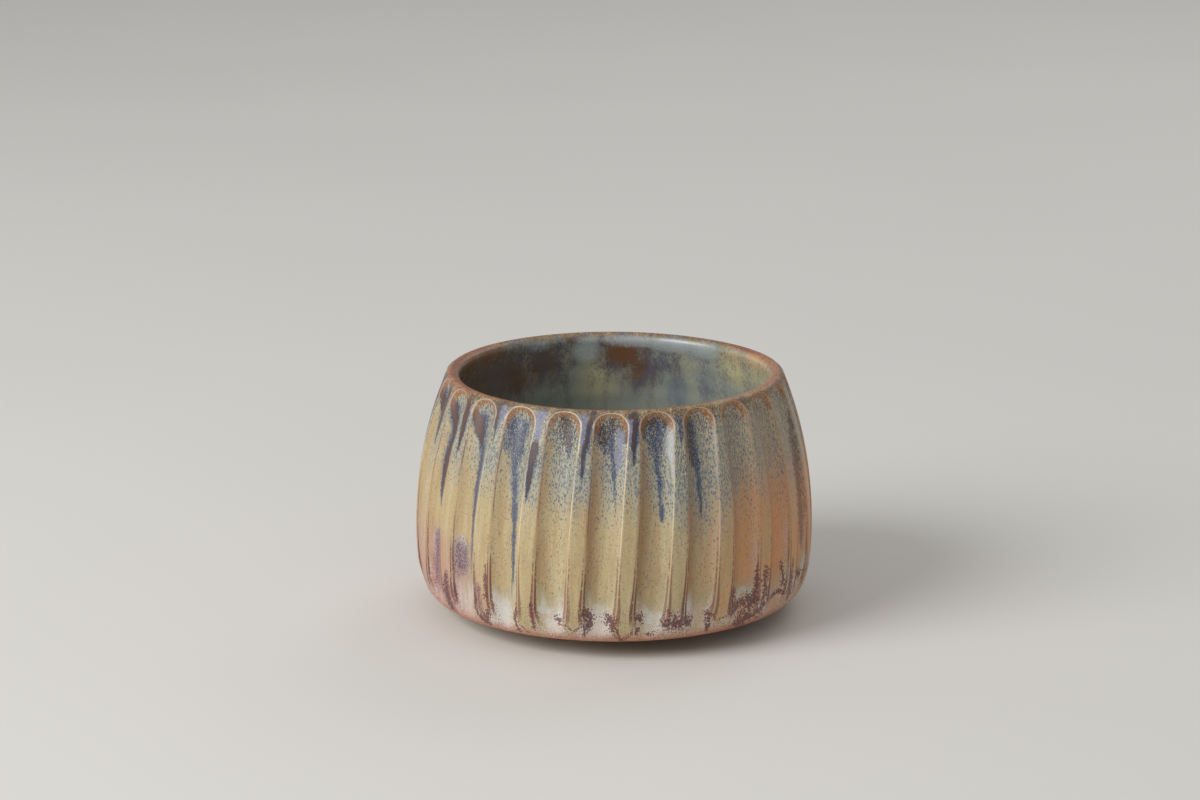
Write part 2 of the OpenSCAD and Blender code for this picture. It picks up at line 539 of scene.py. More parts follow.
def carving_tree():
    """Geometry nodes that press every flute into a turned blank."""
    tree = bpy.data.node_groups.new("carve_flutes", "GeometryNodeTree")
    tree.interface.new_socket("Geometry", in_out="OUTPUT", socket_type="NodeSocketGeometry")
    tree.interface.new_socket("Geometry", in_out="INPUT", socket_type="NodeSocketGeometry")
    for name in CARVING:
        tree.interface.new_socket(name, in_out="INPUT", socket_type="NodeSocketFloat")
    tree.interface.new_socket("Glaze", in_out="INPUT", socket_type="NodeSocketMaterial")
    wire = Wire(tree)
    start = wire.node("NodeGroupInput").socket.node
    size = {socket.name: Wire(tree, socket) for socket in start.outputs if socket.name}

    def stored(name):
        return wire.node("GeometryNodeInputNamedAttribute", {"data_type": "FLOAT"}, {"Name": name})

    def turned(vector, axis, angle, centre=None):
        inputs = {"Vector": vector, "Angle": angle}
        if centre is not None:
            inputs["Center"] = centre
        return wire.node("ShaderNodeVectorRotate", {"rotation_type": axis}, inputs)

    flute = stored("flute")
    wander = flute * math.radians(WANDER_STEP) + math.radians(WANDER_START)
    uneven = size["Uneven spacing"] * wire.math("COSINE", wander)
    turn = flute * FULL_TURN / size["Flute count"] + size["Turn of all"] + uneven - QUARTER
    sway = (flute - 1.0) * math.radians(LEAN_STEP)
    lean = size["Lean"] + size["Uneven lean"] * wire.math("COSINE", sway)
    hinge = wire.node("ShaderNodeCombineXYZ", None, {"Z": size["Lean height"]})
    place = wire.node("GeometryNodeInputPosition")
    upright = turned(turned(place, "Z_AXIS", -turn), "X_AXIS", lean, hinge)
    x, across, z = upright.parts()
    away = x - size["Side centre"]
    rise = z - size["Widest height"]
    reach = wire.math("SQRT", away * away + rise * rise)
    over = (wire.math("ARCTAN2", rise, away) - size["Arch angle"]).most(0.0) * size["Side radius"]
    tool = size["Tool radius"] + stored("inset")
    depth = (tool * tool - across * across - over * over).most(0.0)
    cut = size["Path radius"] - wire.math("SQRT", depth)
    kept = wire.math("SMOOTH_MIN", reach, cut, size["Arris softness"]) / reach
    pressed = wire.node("ShaderNodeCombineXYZ", None, {
        "X": size["Side centre"] + away * kept,
        "Y": across,
        "Z": size["Widest height"] + rise * kept,
    })
    back = turned(turned(pressed, "X_AXIS", -lean, hinge), "Z_AXIS", turn)
    carved = wire.node("GeometryNodeSetPosition", None, {"Geometry": size["Geometry"], "Position": back})
    real = wire.node("GeometryNodeRealizeInstances", None, {"Geometry": carved})
    coated = wire.node("GeometryNodeSetMaterial", None, {"Geometry": real, "Material": size["Glaze"]})
    wire.node("NodeGroupOutput", None, {0: coated})
    return tree


def carve(piece, tree, material):
    """Carves the flutes into a blank and leaves a plain mesh."""
    modifier = piece.modifiers.new("flutes", "NODES")
    modifier.node_group = tree
    values = {**CARVING, "Glaze": material}
    for socket in tree.interface.items_tree:
        if socket.in_out == "INPUT" and socket.name in values:
            modifier[socket.identifier] = values[socket.name]
    graph = bpy.context.evaluated_depsgraph_get()
    shaped = bpy.data.meshes.new_from_object(
        piece.evaluated_get(graph), preserve_all_data_layers=True, depsgraph=graph
    )
    blank = piece.data
    piece.modifiers.clear()
    piece.data = shaped
    bpy.data.meshes.remove(blank)


def settle(piece):
    """Lets the lip dip in front and behind and waver a little, as a thrown cup's does after firing."""
    mesh = piece.data
    places = vertex_places(mesh)
    x, y, z = places.T
    turn = np.arctan2(x, -y)
    out = np.clip(np.hypot(x, y) / (BELLY * MM), 0.0, 1.0)
    share = np.clip(z / (CUP_HEIGHT * MM), 0.0, 1.0)
    dip = sum(deep * (0.5 + 0.5 * np.cos(turn - math.radians(middle))) ** 3 for deep, middle in LIP_DIPS)
    uneven = 0.5 + 0.25 * np.sin(3.0 * turn + 0.6) + 0.25 * np.sin(5.0 * turn + 2.1)
    places[:, 2] -= (dip * share**4 + LIP_WAVER * uneven * share**6) * out * MM
    mesh.vertices.foreach_set("co", places.ravel())
    mesh.update()


def finish_mesh(piece):
    """Turns a piece's faces outwards and shades it smooth, with its cut edges left sharp."""
    mesh = piece.data
    mesh.calc_loop_triangles()
    corners = np.empty(len(mesh.loop_triangles) * 3, np.int32)
    mesh.loop_triangles.foreach_get("vertices", corners)
    a, b, c = np.moveaxis(vertex_places(mesh)[corners.reshape(-1, 3)], 1, 0)
    volume = np.einsum("ij,ij->i", a, np.cross(b, c)).sum() / 6.0
    if volume < 0.0:
        mesh.flip_normals()
    mesh.shade_smooth()
    mesh.set_sharp_from_angle(angle=SHARP_ANGLE)


# Where the glaze ran: (flute, [(across, down, half width), ...]), in millimetres

BROWN_RUNS = [
    (-5, [(-2.8, 4.8, 0.9), (-1.6, 6.2, 1.2), (-0.4, 8.6, 0.2)]),
    (-5, [(4.2, 3.0, 1.0), (4.4, 6.0, 1.1), (5.0, 9.0, 1.0), (5.2, 14.4, 0.15)]),
    (-4, [(-2.6, 4.6, 1.1), (-1.3, 7.0, 1.4), (-0.1, 9.2, 1.0), (0.3, 11.0, 0.6), (0.4, 13.2, 0.5)]),
    (-4, [(0.2, 13.0, 0.6), (-0.1, 15.4, 1.0), (-0.1, 18.5, 0.9), (0.1, 22.4, 0.6), (0.3, 25.6, 0.1)]),
    (-3, [(-5.6, 2.0, 1.1), (-5.3, 6.6, 1.0), (-5.2, 9.7, 0.8), (-5.1, 14.0, 0.1)]),
    (-3, [(-2.4, 4.8, 1.1), (-1.8, 6.2, 1.4), (-0.6, 8.3, 0.95), (0.3, 11.0, 0.2)]),
    (-3, [(4.0, 1.7, 0.9), (4.3, 5.6, 0.65), (4.5, 9.0, 0.1)]),
    (-2, [(4.5, 2.3, 0.9), (4.5, 3.2, 0.3)]),
    (-2, [(4.6, 7.4, 0.3), (4.5, 9.4, 1.2), (4.5, 11.0, 1.35), (4.4, 14.5, 0.9), (4.4, 19.6, 0.1)]),
    (-1, [(-0.2, 2.8, 0.9), (0.3, 4.6, 1.4), (0.8, 6.6, 1.2), (1.3, 9.0, 0.4)]),
    (-1, [(5.5, 1.6, 0.8), (5.0, 4.2, 0.6), (4.9, 8.3, 0.6), (4.7, 10.3, 0.55), (4.8, 12.5, 0.3),
          (4.8, 15.0, 0.08)]),
    (0, [(-2.7, 4.4, 1.2), (-2.0, 4.9, 1.7), (-1.4, 6.0, 1.6), (-1.1, 7.8, 0.6)]),
    (0, [(0.3, 3.5, 1.1), (1.6, 4.1, 1.4), (2.7, 5.0, 1.1), (2.9, 7.2, 0.4)]),
    (0, [(4.2, 1.8, 1.4), (4.8, 3.4, 0.8), (4.8, 5.2, 0.75), (4.8, 8.3, 0.45), (4.9, 12.0, 0.08)]),
    (1, [(-2.8, 3.8, 0.9), (-1.4, 2.8, 1.0), (0.4, 2.6, 1.0), (1.8, 3.3, 1.0), (2.7, 4.8, 0.6)]),
    (1, [(-2.8, 3.6, 0.8), (-2.4, 6.0, 0.6), (-2.2, 8.0, 0.1)]),
    (2, [(-1.9, 3.4, 1.1), (-2.1, 6.5, 1.0), (-2.0, 9.1, 0.8), (-1.8, 13.0, 0.2)]),
    (5, [(3.0, 8.0, 0.3), (2.4, 13.0, 0.7), (2.1, 18.0, 0.9), (1.8, 24.0, 0.9), (1.8, 31.0, 0.7),
         (1.8, 38.0, 0.1)]),
]
BLUE_RUNS = [
    (-5, [(-2.0, 4.0, 1.6), (-0.8, 9.0, 1.2), (0.2, 15.0, 0.3)]),
    (-4, [(-1.6, 5.0, 1.8), (-0.2, 10.0, 1.6), (-0.6, 14.0, 1.6), (-0.4, 20.0, 1.5), (0.2, 27.0, 0.3)]),
    (-4, [(4.6, 3.0, 1.0), (5.4, 8.0, 0.9), (5.4, 15.4, 0.1)]),
    (-3, [(-0.6, 5.0, 1.8), (0.0, 8.0, 1.8), (0.9, 11.0, 1.6), (1.5, 14.3, 1.7), (1.6, 18.0, 1.6),
          (1.8, 22.0, 1.4), (1.9, 28.0, 0.9), (1.8, 35.0, 0.6), (1.5, 42.0, 0.2)]),
    (-2, [(-1.9, 4.8, 2.2), (-1.0, 8.8, 2.5), (-0.2, 12.4, 1.6), (0.2, 14.9, 1.2), (1.0, 19.7, 1.1),
          (1.5, 24.7, 1.0), (1.9, 32.0, 0.75), (1.6, 41.5, 0.2)]),
    (-2, [(0.6, 4.4, 1.6), (0.9, 9.0, 1.3), (0.9, 12.0, 0.6)]),
    (-2, [(4.5, 13.0, 1.3), (4.4, 17.0, 1.0), (4.4, 21.0, 0.2)]),
    (-1, [(0.5, 4.6, 1.2), (1.2, 7.7, 1.2), (1.4, 9.8, 0.8), (1.5, 12.4, 0.1)]),
    (0, [(-0.1, 4.2, 1.1), (0.2, 7.0, 1.0), (0.5, 9.3, 0.9), (1.3, 13.5, 0.9), (1.5, 15.6, 0.55),
         (2.0, 21.6, 0.2)]),
    (0, [(-1.6, 6.2, 1.7), (-1.0, 9.6, 0.8)]),
    (0, [(-4.4, 4.0, 1.0), (-4.9, 8.0, 0.8), (-5.2, 14.6, 0.4), (-5.2, 17.0, 0.1)]),
    (0, [(5.0, 2.6, 1.3), (5.1, 4.8, 0.9), (4.9, 8.0, 0.7), (5.2, 14.0, 0.1)]),
    (1, [(0.2, 4.6, 2.9), (0.0, 8.4, 2.1), (0.3, 11.0, 0.9), (0.8, 15.6, 0.6), (1.2, 19.8, 0.5),
         (1.4, 22.4, 0.6), (1.4, 24.0, 0.1)]),
    (2, [(-4.6, 1.4, 1.9), (-4.5, 3.5, 1.4), (-4.2, 5.6, 0.9), (-4.2, 8.6, 0.1)]),
    (2, [(-1.4, 4.6, 1.8), (-1.0, 10.0, 1.3), (-0.4, 17.0, 0.8), (0.2, 25.0, 0.2)]),
]
PALE_RUNS = [
    (-3, [(5.3, 2.2, 0.9), (5.1, 4.7, 0.7), (4.9, 7.5, 0.15)]),
    (-2, [(4.3, 1.9, 1.5), (4.4, 4.1, 1.0), (4.5, 6.1, 0.7), (4.6, 8.2, 0.15)]),
    (-1, [(3.7, 1.9, 1.0), (4.0, 4.3, 0.7), (4.2, 6.4, 0.5), (4.2, 8.8, 0.15)]),
    (0, [(1.9, 5.2, 0.9), (2.0, 9.0, 0.95), (1.9, 11.3, 0.7), (1.8, 14.0, 0.1)]),
    (0, [(3.7, 3.0, 0.7), (3.9, 5.6, 0.4), (3.9, 8.0, 0.1)]),
]
WHITE_AND_HIGHLIGHT_RUNS = [
    # the streaks high on the right walls of flutes 1 and 2 are partly a painted highlight; the rest are
    # chalk-white glaze low on the wall
    (1, [(3.1, 3.8, 0.9), (2.9, 6.2, 1.25), (2.9, 8.7, 1.25), (3.2, 11.9, 0.8), (3.4, 15.0, 0.15)]),
    (2, [(3.6, 5.0, 0.3), (3.5, 9.0, 0.45), (3.4, 16.0, 0.15)]),
    (-3, [(-1.2, 30.4, 0.7), (-1.2, 33.0, 2.2), (-1.8, 38.5, 3.0), (-2.0, 42.0, 2.8), (-2.2, 46.0, 2.4)]),
    (-4, [(-0.6, 31.0, 0.6), (-0.6, 35.0, 2.0), (-0.8, 40.0, 2.8), (-1.0, 46.0, 2.2)]),
    (-5, [(-1.4, 32.0, 1.0), (-1.4, 44.0, 2.2)]),
    (-2, [(-2.0, 41.0, 1.6), (-0.8, 42.4, 2.6), (-1.0, 46.4, 3.0)]),
    (-1, [(-0.4, 42.9, 0.8), (-0.3, 43.1, 0.8)]),
    (0, [(-0.2, 41.6, 1.1), (0.2, 43.6, 0.6)]),
    (1, [(-0.2, 42.6, 0.9), (0.8, 44.4, 1.4)]),
    (3, [(-1.4, 41.4, 1.1), (2.2, 41.2, 1.3)]),
]
MAUVE_RUNS = [
    (-3, [(-1.4, 33.6, 3.2), (-1.6, 36.6, 3.6)]),
    (-3, [(-3.0, 41.0, 0.8), (-3.2, 45.4, 1.0)]),
    (-4, [(0.0, 32.0, 1.6), (-0.2, 38.0, 2.4), (-0.6, 44.0, 2.2)]),
    (-5, [(0.4, 33.0, 1.2), (0.0, 42.0, 2.0)]),
    (-3, [(-5.4, 39.0, 0.9), (-5.4, 43.0, 1.8), (-5.0, 47.6, 1.8)]),
    (-3, [(5.0, 40.0, 0.8), (5.0, 45.6, 1.5), (5.2, 48.4, 1.8)]),
    (1, [(5.4, 44.6, 1.2), (6.2, 46.0, 1.6)]),
]
PLUM_PATCHES = [
    (-3, [(-5.6, 40.0, 0.8), (-5.8, 43.0, 1.4), (-5.5, 47.4, 1.5)]),
    (-3, [(3.4, 44.6, 0.5), (3.9, 46.6, 1.0), (5.2, 48.0, 1.5), (6.6, 46.4, 1.0), (7.0, 44.6, 0.5)]),
    (-3, [(3.3, 35.0, 0.3), (3.4, 41.0, 0.6), (3.6, 45.0, 0.8)]),
    (-3, [(6.9, 35.0, 0.3), (6.8, 42.0, 0.7)]),
    (-2, [(2.9, 42.3, 0.7), (2.4, 45.8, 0.7), (2.8, 48.6, 0.8)]),
    (-1, [(-4.2, 42.0, 0.6), (-3.5, 47.8, 0.6)]),
    (-1, [(1.6, 44.8, 1.1), (1.9, 45.6, 0.7)]),
    (0, [(-2.4, 42.6, 1.2), (-1.6, 44.0, 1.4), (-2.5, 47.8, 0.8)]),
    (0, [(1.9, 43.6, 1.3), (3.2, 45.0, 1.3), (3.1, 47.0, 0.9)]),
    (0, [(4.0, 46.9, 0.6), (5.2, 49.3, 0.6), (7.0, 48.6, 0.5), (8.6, 47.0, 0.6)]),
    (1, [(-1.8, 43.8, 1.0), (-1.6, 44.8, 1.1)]),
    (1, [(0.5, 47.4, 0.8), (0.9, 47.8, 0.8)]),
    (1, [(3.6, 45.6, 1.2), (5.4, 44.4, 1.8), (6.6, 45.6, 2.2), (8.6, 45.4, 1.3)]),
    (2, [(2.5, 44.0, 0.9), (2.9, 47.8, 0.7)]),
    (3, [(-2.9, 40.3, 0.8), (-2.2, 44.4, 1.9), (0.7, 43.8, 1.9), (3.6, 43.4, 1.9)]),
    (3, [(-0.9, 48.8, 1.2), (1.4, 47.2, 2.4), (4.6, 46.8, 2.0)]),
    (3, [(3.4, 36.0, 0.3), (3.2, 40.0, 0.6), (3.2, 43.0, 1.0)]),
    (3, [(5.2, 36.0, 0.5), (5.6, 39.0, 0.9), (5.6, 45.0, 1.0)]),
    (4, [(1.8, 38.0, 0.6), (2.4, 42.0, 0.8)]),
    (4, [(-1.8, 44.8, 0.9), (0.4, 44.6, 0.7), (2.6, 44.0, 1.0)]),
    (4, [(4.8, 37.0, 0.4), (4.6, 41.0, 0.8), (5.2, 45.8, 1.4)]),
    (5, [(-1.0, 44.0, 1.0), (1.6, 43.0, 1.2)]),
]
FRONT_RUNS = {
    "brown": BROWN_RUNS, "blue": BLUE_RUNS, "pale": PALE_RUNS,
    "white": WHITE_AND_HIGHLIGHT_RUNS, "mauve": MAUVE_RUNS, "plum": PLUM_PATCHES,
}
# A run that starts above the first of these comes from the lip. One that starts further from the
# middle of its flute than the second is on a land.
LIP_RUNS_END = 20.0
HALF_FLUTE = 3.65
# How far down the ochre reaches on the land to the right of each flute that faces the front
LAND_ENDS = {
    -6: 45.0, -5: 45.0, -4: 43.0, -3: 45.6, -2: 48.6, -1: 47.0,
    0: 49.0, 1: 43.4, 2: 46.0, 3: 40.0, 4: 41.0, 5: 43.0,
}
# Blue speckle in each flute that faces the front: how dense it is and how far down it reaches
SPECKLE = {
    -5: (0.6, 24.0), -4: (0.65, 26.0), -3: (0.8, 28.0), -2: (0.95, 28.0), -1: (1.0, 30.0), 0: (0.9, 30.0),
    1: (0.95, 31.0), 2: (0.84, 40.0), 3: (0.78, 33.0), 4: (0.72, 34.0), 5: (0.8, 36.0),
}


def round_the_back(seed):
    """Runs for the flutes that face away, in the manner of those in front, and their speckle."""
    chance = np.random.RandomState(seed)
    made = {kind: [] for kind in FRONT_RUNS}
    density = {}

    def run(kind, *path):
        made[kind].append((flute, path))

    for flute in range(-FLUTES // 2, FLUTES // 2):
        if flute in FRONT_FLUTES:
            continue
        draw = chance.uniform(0.0, 1.0, 16)
        land = 4.6 + 0.5 * draw[0]
        length = 6.0 + 12.0 * draw[1]
        run("brown", (land, 1.8, 1.3), (land + 0.2, 0.5 * length, 1.0), (land + 0.1, length, 0.5),
            (land, 3.0 + length, 0.1))
        run("blue", (land, 2.6, 1.4), (land + 0.2, length, 1.0), (land + 0.1, 5.0 + length, 0.1))
        run("pale", (land - 0.6, 1.8, 1.2), (land - 0.4, 4.0 + 5.0 * draw[2], 0.2))
        lead = 2.4 * draw[3] - 1.6
        drift = 0.8 + 2.0 * draw[4]
        tail = 14.0 + 22.0 * draw[5]
        run("blue", (lead, 4.6, 2.4), (lead + 0.4 * drift, 9.0, 2.0), (lead + 0.8 * drift, 14.0, 1.0),
            (lead + drift, tail, 0.2))
        if draw[6] < 0.6:
            run("brown", (lead - 0.8, 4.2, 1.1), (lead + 0.2 * drift, 6.4, 1.3),
                (lead + 0.7 * drift, 9.0 + 6.0 * draw[7], 0.15))
        if draw[8] < 0.3:
            # a white streak high on the right wall, partly a painted highlight
            run("white", (3.3, 4.0, 0.8), (3.1, 8.0, 1.0), (3.2, 12.0 + 4.0 * draw[9], 0.15))
        if draw[10] < 0.3:
            run("white", (0.6, 30.0, 0.8), (-0.4, 38.0, 2.6), (-1.2, 45.0, 2.2))
            run("mauve", (-0.8, 32.0, 1.0), (-1.0, 36.0, 2.0), (-1.4, 42.0, 0.9))
        if draw[11] < 0.5:
            run("plum", (2.0 * draw[12] - 3.0, 42.0 + 3.0 * draw[13], 0.9),
                (3.0 * draw[13] - 3.0, 45.0 + 3.0 * draw[12], 1.2))
        if draw[13] < 0.6:
            run("plum", (4.4, 40.0 + 4.0 * draw[14], 0.5), (4.8, 46.0, 0.6 + 1.4 * draw[12]))
        if draw[14] < 0.6:
            run("plum", (2.4, 42.0 + 4.0 * draw[11], 0.7), (2.6, 44.0 + 4.0 * draw[11], 1.1))
        density[flute] = (0.7 + 0.25 * draw[15], 25.0 + 9.0 * draw[1])
    return made, density


def ease(value, low, high):
    """Goes smoothly from zero to one as the value goes from low to high."""
    share = np.clip((value - low) / (high - low), 0.0, 1.0)
    return share * share * (3.0 - 2.0 * share)


def waver(lay, down, seed):
    """A smooth unevenness between about -1 and 1, the same all the way round."""
    chance = np.random.RandomState(seed)
    total = np.zeros(lay.shape)
    for _ in range(6):
        turns = chance.randint(30, 110)
        slope = chance.uniform(-1.6, 1.6)
        total += np.sin(turns * lay + slope * down + chance.uniform(0.0, 6.28))
    return total / 3.0


def run_field(blank, runs, seed):
    """How deep each point lies in a run: one along its middle, zero at its sides and below zero
    away from it. A run from the lip stays in the flute or on the land where it starts."""
    field = np.full(blank.lay.shape, -1.0)
    stray_u = 0.18 * waver(blank.lay, blank.down, seed)
    stray_d = 0.6 * waver(blank.lay, blank.down, seed + 1)
    land = ease(blank.edge, -0.35, 0.1)
    flute_bed = ease(-blank.edge, -0.3, 0.25)
    for flute, path in runs:
        aside = blank.aside(flute)
        near = (np.abs(aside) < 10.0) & (blank.inset < 0.5 * GLAZE)
        u = aside[near] + stray_u[near]
        d = blank.down[near] + stray_d[near]
        best = np.full(u.shape, -1.0)
        for (u0, d0, w0), (u1, d1, w1) in zip(path, path[1:]):
            du = u1 - u0
            dd = d1 - d0
            share = np.clip(((u - u0) * du + (d - d0) * dd) / (du * du + dd * dd), 0.0, 1.0)
            gap = np.hypot(u - u0 - share * du, d - d0 - share * dd)
            best = np.maximum(best, 1.0 - gap / (w0 + share * (w1 - w0)))
        first_u, first_d, _ = path[0]
        if first_d < LIP_RUNS_END:
            bed = land if abs(first_u) > HALF_FLUTE else flute_bed
            best = best * bed[near] - (1.0 - bed[near])
        field[near] = np.maximum(field[near], best)
    return field


def land_end_field(blank):
    """How far down the ochre reaches on the land nearest to each point."""
    land = first_lap(blank.flute - (blank.across < 0.0)).astype(int)
    chance = np.random.RandomState(7)
    ends = 45.0 + 3.0 * chance.uniform(-1.0, 1.0, FLUTES)
    for flute, end in LAND_ENDS.items():
        ends[flute + FLUTES // 2] = end
    return ends[land + FLUTES // 2]


def speckle_field(blank, density):
    """Density of the blue speckle, thick below the lip and thinning down each flute."""
    laps = np.arange(-FLUTES // 2, FLUTES // 2 + 1)
    turns = np.array([flute_turn(float(lap)) for lap in laps])
    thick = np.interp(blank.lay, turns, [density[first_lap(lap)][0] for lap in laps])
    reach = np.interp(blank.lay, turns, [density[first_lap(lap)][1] for lap in laps])
    return thick * (1.0 - ease(blank.down, 0.25 * reach, reach))


def warm_side_and_bounce_field(blank):
    """One on the right side of the cup, where the glaze is a warmer brown with painted orange bounce light
    in it, and zero on the rest.
    """
    gap = np.abs(wrapped(blank.lay - math.radians(72.0)))
    return 1.0 - ease(gap, math.radians(20.0), math.radians(55.0))


# Patches of the liner: (turn from the front in degrees, depth below the crest, half width, half depth,
# strength)

LINER_PATCHES = {
    "dark": [
        (-112.0, 8.0, 28.0, 13.0, 1.0), (-134.0, 9.0, 22.0, 11.0, 1.0), (-152.0, 7.0, 16.0, 8.0, 1.0),
        (-164.0, 1.8, 8.0, 2.6, 0.9), (176.0, 5.8, 15.0, 7.0, 0.95), (170.0, 9.6, 13.0, 7.0, 0.8),
        (160.0, 8.6, 12.0, 6.0, 0.5),
        (-60.0, 5.0, 22.0, 5.0, 1.0), (-15.0, 4.0, 14.0, 6.0, 1.0), (30.0, 5.0, 12.0, 5.0, 1.0),
        (64.0, 4.0, 14.0, 4.0, 0.8),
    ],
    "rusty": [
        (177.0, 5.0, 10.0, 4.6, 1.0), (-100.0, 2.6, 28.0, 5.6, 1.4), (-122.0, 2.4, 16.0, 4.0, 1.3),
        (-108.0, 10.0, 34.0, 12.0, 0.3), (173.0, 8.0, 7.0, 4.8, 0.5),
        (-144.0, 10.5, 10.0, 4.0, 0.6), (-15.0, 4.0, 8.0, 3.0, 1.0),
    ],
    # pale patches; those high on the back wall between 144 and 174 degrees are partly a painted highlight
    "pale_and_highlight": [
        (174.0, 2.6, 13.0, 1.9, 1.0), (157.0, 2.9, 15.0, 2.1, 1.0), (-169.0, 4.6, 7.0, 4.0, 0.7),
        (144.0, 3.2, 10.0, 2.6, 0.8), (-150.0, 3.0, 7.0, 1.8, 0.5), (40.0, 5.0, 12.0, 2.0, 0.8),
    ],
    "gold": [
        (108.0, 4.5, 22.0, 8.0, 1.0), (128.0, 6.2, 14.0, 6.5, 0.9), (148.0, 7.5, 14.0, 8.0, 0.35),
        (92.0, 6.0, 14.0, 6.0, 0.9), (40.0, 14.0, 20.0, 8.0, 0.8), (-60.0, 16.0, 22.0, 8.0, 0.8),
        (-174.0, 12.0, 12.0, 8.0, 0.6),
    ],
    "slate": [
        (163.0, 8.4, 9.0, 6.0, 0.8), (144.0, 10.0, 9.0, 6.0, 0.6), (147.0, 4.6, 8.0, 3.6, 0.6),
        (156.0, 13.5, 8.0, 6.0, 0.9), (-158.0, 3.4, 8.0, 2.6, 0.6), (-146.0, 2.6, 9.0, 2.2, 0.6),
        (10.0, 8.0, 18.0, 6.0, 0.8), (70.0, 10.0, 14.0, 6.0, 0.8),
    ],
}


def patch_field(turn, depth, patches):
    """How deep each point lies in a patch of the liner."""
    field = np.zeros(np.broadcast(turn, depth).shape)
    for middle, low, half_turn, half_depth, strength in patches:
        gap = (np.degrees(turn) - middle + 180.0) % 360.0 - 180.0
        deep = 1.0 - np.hypot(gap / half_turn, (depth - low) / half_depth)
        field = np.maximum(field, strength * deep)
    return field


def liner_fields(piece, turn, depth):
    """Stores how deep each point lies in each kind of patch."""
    for name, patches in LINER_PATCHES.items():
        keep(piece, name, patch_field(turn, depth, patches))


# Glazes

GLAZE_FIELDS = (
    "down", "edge", "across", "ridge", "speckle", "blue", "brown", "pale", "white", "mauve", "plum",
    "smoky", "land_end",
)
# Noise in the glaze: how far it is drawn out down the wall, its scale, detail and roughness
GLAZE_NOISE = {
    "grain": (0.5, 4.0, 2.0, 0.6),
    "dust": (0.6, 5.2, 2.0, 0.6),
    "crumb": (0.85, 1.5, 5.0, 0.72),
    "drag": (0.08, 0.9, 3.0, 0.55),
    "thread": (0.045, 2.6, 2.0, 0.5),
    "cloud": (0.4, 0.2, 3.0, 0.5),
    "mottle": (0.4, 0.5, 3.0, 0.55),
}
# Dots in the glaze: how far they are drawn out down the wall, and their scale
GLAZE_DOTS = {"flecks": (0.45, 2.8), "pips": (0.8, 2.7), "drops": (0.7, 1.25)}
# The liner's drag, grain, cloud and mottle, given as the noise in the glaze is
LINER_NOISE = [(0.2, 0.32, 4.0, 0.6), (0.6, 2.3, 3.0, 0.7), (0.5, 0.13, 3.0, 0.5), (0.45, 0.4, 4.0, 0.62)]
# Height of the relief in millimetres, weight of the gloss coat and its roughness
OUTER_FINISH = (0.06, 0.08, 0.2)
LINER_FINISH = (0.05, 0.25, 0.1)
CLAY_FINISH = (0.08, 0.0, 0.3)


